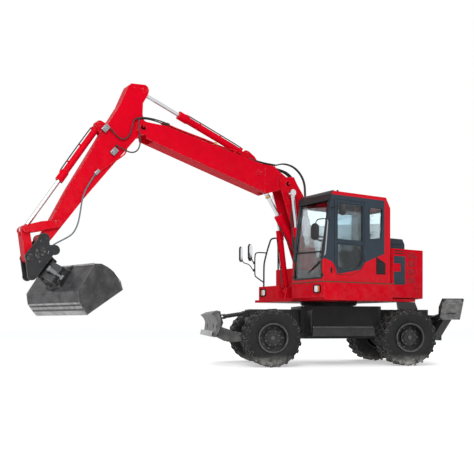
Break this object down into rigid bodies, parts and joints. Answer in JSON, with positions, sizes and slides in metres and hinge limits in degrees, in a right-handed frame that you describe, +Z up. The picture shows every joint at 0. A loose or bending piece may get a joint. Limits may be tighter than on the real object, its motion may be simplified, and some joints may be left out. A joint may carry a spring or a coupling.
{
  "type": "wheeled excavator",
  "caption": "Wheeled excavator with a two-piece boom, a tilting and rotating ditching bucket, a dozer blade, stabilisers and a cab beside the boom.",
  "frame": {"origin": "on the floor under the middle of the machine's overall box as it is parked", "axes": "+X forward along the boom, +Y to the operator's left, +Z up; the chassis is turned 24 degrees to the right under the upper structure"},
  "size_m": [8.5464, 4.2196, 4.7504],
  "materials": {
    "red_paint": "semi-gloss",
    "cab_paint": "semi-gloss",
    "dark_chassis": "satin",
    "tyre_rubber": "matt",
    "rim_paint": "satin",
    "boom_paint": "semi-gloss",
    "ram_paint": "semi-gloss",
    "chrome_rod": "polished",
    "worn_steel": "worn",
    "window_glass": "clear",
    "dark_plastic": "matt",
    "seat_fabric": "woven",
    "engine_iron": "rough"
  },
  "bodies": {
    "chassis": {"chassis_frame": "dark_chassis", "side_steps": "dark_chassis", "front_axle": "dark_chassis", "rear_axle": "dark_chassis", "stabiliser_beam": "dark_chassis"},
    "knuckle_left": {"knuckle_left": "dark_chassis"},
    "knuckle_right": {"knuckle_right": "dark_chassis"},
    "wheel_front_left": {"rim_front_left": "rim_paint", "tyres_front_left": "tyre_rubber"},
    "wheel_front_right": {"rim_front_right": "rim_paint", "tyres_front_right": "tyre_rubber"},
    "wheel_rear_left": {"rim_rear_left": "rim_paint", "tyres_rear_left": "tyre_rubber"},
    "wheel_rear_right": {"rim_rear_right": "rim_paint", "tyres_rear_right": "tyre_rubber"},
    "blade": {"blade": "worn_steel"},
    "blade_barrels": {"blade_ram_barrels": "ram_paint"},
    "blade_rods": {"blade_ram_rods": "chrome_rod"},
    "leg_left": {"stabiliser_leg_left": "dark_chassis"},
    "leg_right": {"stabiliser_leg_right": "dark_chassis"},
    "leg_barrel_left": {"stabiliser_barrel_left": "ram_paint"},
    "leg_barrel_right": {"stabiliser_barrel_right": "ram_paint"},
    "leg_rod_left": {"stabiliser_rod_left": "chrome_rod"},
    "leg_rod_right": {"stabiliser_rod_right": "chrome_rod"},
    "upper": {"upper_frame": "dark_chassis", "cab_base": "red_paint", "side_boxes": "red_paint", "engine_block": "engine_iron", "counterweight": "red_paint", "bay_frame": "red_paint", "cab_shell": "cab_paint", "cab_glass": "window_glass", "cab_fittings": "dark_plastic", "seat": "seat_fabric", "handrail": "dark_plastic"},
    "engine_hood": {"engine_hood": "red_paint"},
    "service_door_left": {"service_door_left": "red_paint"},
    "service_door_right": {"service_door_right": "red_paint"},
    "cab_door": {"cab_door": "cab_paint", "door_glass": "window_glass"},
    "lower_boom": {"lower_boom": "boom_paint"},
    "lift_barrels": {"lift_barrels": "ram_paint"},
    "lift_rods": {"lift_rods": "chrome_rod"},
    "upper_boom": {"upper_boom": "boom_paint"},
    "adjusting_barrel": {"adjusting_barrel": "ram_paint"},
    "adjusting_rod": {"adjusting_rod": "chrome_rod"},
    "arm": {"arm": "boom_paint"},
    "arm_barrel": {"arm_barrel": "ram_paint"},
    "arm_rod": {"arm_rod": "chrome_rod"},
    "bucket_barrel": {"bucket_barrel": "ram_paint"},
    "bucket_rod": {"bucket_rod": "chrome_rod"},
    "rocker": {"rocker": "worn_steel"},
    "tool_link": {"tool_link": "worn_steel"},
    "coupler": {"coupler": "worn_steel"},
    "tilt_head": {"tilt_head": "worn_steel"},
    "bucket": {"bucket": "worn_steel"}
  },
  "joints": [
    {"name": "steer_left", "type": "hinge", "parent": "chassis", "child": "knuckle_left", "pos_m": [-0.15574, 0.11395, 0.5275], "axis": [0, 0, 1], "range_deg": [-30, 30]},
    {"name": "steer_right", "type": "hinge", "parent": "chassis", "child": "knuckle_right", "pos_m": [-0.74144, -1.20156, 0.5275], "axis": [0, 0, 1], "range_deg": [-30.5, 30.5]},
    {"name": "wheel_front_left_spin", "type": "hinge", "parent": "knuckle_left", "child": "wheel_front_left", "pos_m": [-0.05934, 0.33046, 0.5275], "axis": [0.4067, 0.9135, 0], "continuous": true},
    {"name": "wheel_front_right_spin", "type": "hinge", "parent": "knuckle_right", "child": "wheel_front_right", "pos_m": [-0.83784, -1.41807, 0.5275], "axis": [0.4067, 0.9135, 0], "continuous": true},
    {"name": "wheel_rear_left_spin", "type": "hinge", "parent": "chassis", "child": "wheel_rear_left", "pos_m": [-2.4099, 1.37699, 0.5275], "axis": [0.4067, 0.9135, 0], "continuous": true},
    {"name": "wheel_rear_right_spin", "type": "hinge", "parent": "chassis", "child": "wheel_rear_right", "pos_m": [-3.18839, -0.37154, 0.5275], "axis": [0.4067, 0.9135, 0], "continuous": true},
    {"name": "blade_lift", "type": "hinge", "parent": "chassis", "child": "blade", "pos_m": [-0.24487, -0.63451, 0.52], "axis": [0.4067, 0.9135, 0], "range_deg": [0, 40]},
    {"name": "blade_barrel_pivot", "type": "hinge", "parent": "chassis", "child": "blade_barrels", "pos_m": [-0.11697, -0.69145, 0.985], "axis": [0.4067, 0.9135, 0], "range_deg": [-0.92, 37.06]},
    {"name": "blade_rod_slide", "type": "slide", "parent": "blade_barrels", "child": "blade_rods", "axis": [0.9023, -0.4017, -0.1565], "range_m": [-0.0087, 0.3455]},
    {"name": "stabiliser_left", "type": "hinge", "parent": "chassis", "child": "leg_left", "pos_m": [-3.41561, 1.19316, 0.52], "axis": [-0.9135, 0.4067, 0], "range_deg": [0, 65]},
    {"name": "stabiliser_left_barrel_pivot", "type": "hinge", "parent": "chassis", "child": "leg_barrel_left", "pos_m": [-3.46849, 1.0744, 0.895], "axis": [-0.9135, 0.4067, 0], "range_deg": [-1.15, 48.83]},
    {"name": "stabiliser_left_rod_slide", "type": "slide", "parent": "leg_barrel_left", "child": "leg_rod_left", "axis": [0.4038, 0.907, 0.1198], "range_m": [-0.0094, 0.3785]},
    {"name": "stabiliser_right", "type": "hinge", "parent": "chassis", "child": "leg_right", "pos_m": [-3.72473, 0.49887, 0.52], "axis": [0.9135, -0.4067, 0], "range_deg": [0, 65]},
    {"name": "stabiliser_right_barrel_pivot", "type": "hinge", "parent": "chassis", "child": "leg_barrel_right", "pos_m": [-3.67186, 0.61763, 0.895], "axis": [0.9135, -0.4067, 0], "range_deg": [-1.15, 48.83]},
    {"name": "stabiliser_right_rod_slide", "type": "slide", "parent": "leg_barrel_right", "child": "leg_rod_right", "axis": [-0.4038, -0.907, 0.1198], "range_m": [-0.0094, 0.3785]},
    {"name": "slew", "type": "hinge", "parent": "chassis", "child": "upper", "pos_m": [-1.67, 0, 1.165], "axis": [0, 0, 1], "continuous": true},
    {"name": "cab_door_hinge", "type": "hinge", "parent": "upper", "child": "cab_door", "pos_m": [-1.573, 1.176, 2.3], "axis": [0, 0, 1], "range_deg": [0, 150]},
    {"name": "service_door_left_hinge", "type": "hinge", "parent": "upper", "child": "service_door_left", "pos_m": [-2.889, 1.2, 1.74], "axis": [0, 0, 1], "range_deg": [0, 100]},
    {"name": "service_door_right_hinge", "type": "hinge", "parent": "upper", "child": "service_door_right", "pos_m": [-2.889, -1.2, 1.74], "axis": [0, 0, -1], "range_deg": [0, 100]},
    {"name": "hood_hinge", "type": "hinge", "parent": "upper", "child": "engine_hood", "pos_m": [-2.87, 0, 2.2154], "axis": [0, -1, 0], "range_deg": [0, 55]},
    {"name": "boom_lift", "type": "hinge", "parent": "upper", "child": "lower_boom", "pos_m": [-1.27, -0.13, 1.75], "axis": [0, -1, 0], "range_deg": [-60, 10]},
    {"name": "lift_barrel_pivot", "type": "hinge", "parent": "upper", "child": "lift_barrels", "pos_m": [-0.93, -0.13, 1.42], "axis": [0, -1, 0], "range_deg": [-57.81, 10.74]},
    {"name": "lift_rod_slide", "type": "slide", "parent": "lift_barrels", "child": "lift_rods", "axis": [0.1398, 0, 0.9902], "range_m": [-0.4631, 0.0864]},
    {"name": "boom_fold", "type": "hinge", "parent": "lower_boom", "child": "upper_boom", "pos_m": [-0.64994, -0.13, 3.43983], "axis": [0, 1, 0], "range_deg": [-45, 25]},
    {"name": "adjusting_barrel_pivot", "type": "hinge", "parent": "lower_boom", "child": "adjusting_barrel", "pos_m": [-1.09999, -0.13, 2.03913], "axis": [0, 1, 0], "range_deg": [-5.3, 3.08]},
    {"name": "adjusting_rod_slide", "type": "slide", "parent": "adjusting_barrel", "child": "adjusting_rod", "axis": [0.5697, 0, 0.8218], "range_m": [-0.1792, 0.316]},
    {"name": "arm_swing", "type": "hinge", "parent": "upper_boom", "child": "arm", "pos_m": [2.30342, -0.13, 4.06112], "axis": [0, -1, 0], "range_deg": [-42, 50]},
    {"name": "arm_barrel_pivot", "type": "hinge", "parent": "upper_boom", "child": "arm_barrel", "pos_m": [0.2058, -0.13, 3.90904], "axis": [0, -1, 0], "range_deg": [-2.57, 3.01]},
    {"name": "arm_rod_slide", "type": "slide", "parent": "arm_barrel", "child": "arm_rod", "axis": [0.9356, 0, 0.3531], "range_m": [-0.5216, 0.4401]},
    {"name": "bucket_curl", "type": "hinge", "parent": "arm", "child": "coupler", "pos_m": [3.93757, -0.13, 2.09836], "axis": [0, 1, 0], "range_deg": [-62, 52]},
    {"name": "rocker_pivot", "type": "hinge", "parent": "arm", "child": "rocker", "pos_m": [3.73219, -0.13, 2.34505], "axis": [0, 1, 0], "range_deg": [-34.35, 28.95]},
    {"name": "tool_link_pivot", "type": "hinge", "parent": "rocker", "child": "tool_link", "pos_m": [4.21148, -0.13, 2.23395], "axis": [0, 1, 0], "range_deg": [-0.73, 0.83]},
    {"name": "bucket_barrel_pivot", "type": "hinge", "parent": "arm", "child": "bucket_barrel", "pos_m": [3.01266, -0.13, 4.01727], "axis": [0, 1, 0], "range_deg": [-5.6, 4.74]},
    {"name": "bucket_rod_slide", "type": "slide", "parent": "bucket_barrel", "child": "bucket_rod", "axis": [0.5579, 0, -0.8299], "range_m": [-0.2047, 0.1727]},
    {"name": "bucket_tilt", "type": "hinge", "parent": "coupler", "child": "tilt_head", "pos_m": [3.87186, -0.13, 1.6434], "axis": [0.5864, 0, -0.81], "range_deg": [-28.8, 51.2]},
    {"name": "bucket_turn", "type": "hinge", "parent": "tilt_head", "child": "bucket", "pos_m": [3.71294, -0.16885, 1.52836], "axis": [-0.7946, -0.1942, -0.5752], "continuous": true}
  ],
  "couplings": [
    {"joint": "steer_right", "follows": "steer_left", "ratio": 1},
    {"joint": "blade_barrel_pivot", "follows": "blade_lift", "ratio": 0.90355},
    {"joint": "blade_rod_slide", "follows": "blade_lift", "m_per_rad": 0.48243},
    {"joint": "stabiliser_left_barrel_pivot", "follows": "stabiliser_left", "ratio": 0.7335},
    {"joint": "stabiliser_left_rod_slide", "follows": "stabiliser_left", "m_per_rad": 0.32539},
    {"joint": "stabiliser_right_barrel_pivot", "follows": "stabiliser_right", "ratio": 0.7335},
    {"joint": "stabiliser_right_rod_slide", "follows": "stabiliser_right", "m_per_rad": 0.32539},
    {"joint": "lift_barrel_pivot", "follows": "boom_lift", "ratio": 0.94136},
    {"joint": "lift_rod_slide", "follows": "boom_lift", "m_per_rad": 0.43173},
    {"joint": "adjusting_barrel_pivot", "follows": "boom_fold", "ratio": 0.11109},
    {"joint": "adjusting_rod_slide", "follows": "boom_fold", "m_per_rad": -0.392},
    {"joint": "arm_barrel_pivot", "follows": "arm_swing", "ratio": 0.055149},
    {"joint": "arm_rod_slide", "follows": "arm_swing", "m_per_rad": -0.58378},
    {"joint": "rocker_pivot", "follows": "bucket_curl", "ratio": 0.54},
    {"joint": "tool_link_pivot", "follows": "bucket_curl", "ratio": -0.01},
    {"joint": "bucket_barrel_pivot", "follows": "bucket_curl", "ratio": 0.085337},
    {"joint": "bucket_rod_slide", "follows": "bucket_curl", "m_per_rad": 0.18366}
  ]
}
